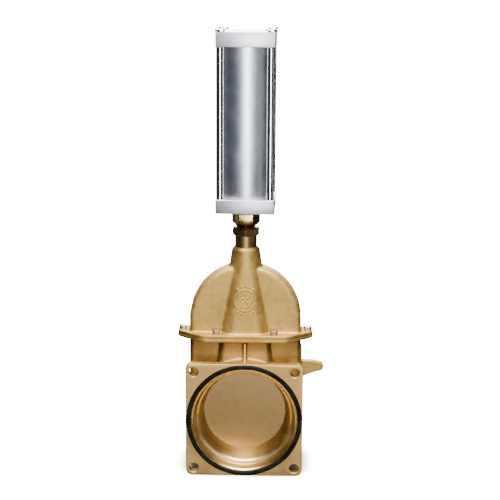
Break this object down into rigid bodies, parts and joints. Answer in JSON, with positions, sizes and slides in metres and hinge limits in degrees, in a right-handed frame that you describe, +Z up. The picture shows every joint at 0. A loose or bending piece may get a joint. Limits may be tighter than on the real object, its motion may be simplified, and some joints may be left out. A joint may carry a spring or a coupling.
{
  "type": "air-operated gate valve with square flanges",
  "caption": "Tank outlet gate valve with square O-ring flanges; an air cylinder on the bonnet lifts the round double-disc gate out of the port.",
  "frame": {"origin": "centre of the front flange's sealing face, on the port's axis", "axes": "+Y along the port, away from the viewer and into the valve; +Z up along the stem and cylinder; +X to the right, towards the side ear"},
  "size_m": [0.1625, 0.096, 0.4853],
  "materials": {
    "cast_brass": "sand-cast brass, matt",
    "turned_brass": "turned brass",
    "bright_brass": "machined bright brass",
    "dark_brass": "dark machined brass",
    "lower_cap_alloy": "satin anodised",
    "upper_cap_alloy": "satin anodised, pale",
    "tube_alloy": "polished and anodised",
    "rod_chrome": "polished",
    "bolt_steel": "zinc plated",
    "spring_steel": "spring steel",
    "black_rubber": "moulded rubber",
    "pale_polymer": "low-friction polymer",
    "gasket_fibre": "pressed fibre sheet"
  },
  "bodies": {
    "valve": {"valve_body": "cast_brass", "bonnet": "cast_brass", "bonnet_gasket": "gasket_fibre", "front_flange_o_ring": "black_rubber", "rear_flange_o_ring": "black_rubber", "front_seat_ring": "pale_polymer", "rear_seat_ring": "pale_polymer", "joint_bolts": "bolt_steel", "joint_washers": "bolt_steel", "gland_nut": "dark_brass", "packing_follower": "turned_brass", "packing_rings": "pale_polymer", "cylinder_adapter": "bright_brass", "lower_cap": "lower_cap_alloy", "upper_cap": "upper_cap_alloy", "cylinder_tube": "tube_alloy", "tube_seals": "black_rubber", "tie_rods": "rod_chrome", "tie_rod_nuts": "rod_chrome", "rod_bush": "turned_brass", "rod_seal": "black_rubber", "lower_bumper": "black_rubber", "upper_bumper": "black_rubber"},
    "gate": {"front_gate_disc": "turned_brass", "rear_gate_disc": "turned_brass", "gate_springs": "spring_steel", "gate_carrier": "turned_brass", "carrier_pin": "rod_chrome", "stem": "rod_chrome", "piston": "turned_brass", "piston_seals": "black_rubber", "piston_guide_ring": "pale_polymer", "piston_nut": "bolt_steel"}
  },
  "joints": [
    {"name": "gate_lift", "type": "slide", "parent": "valve", "child": "gate", "axis": [0, 0, 1], "range_m": [0, 0.105]}
  ]
}
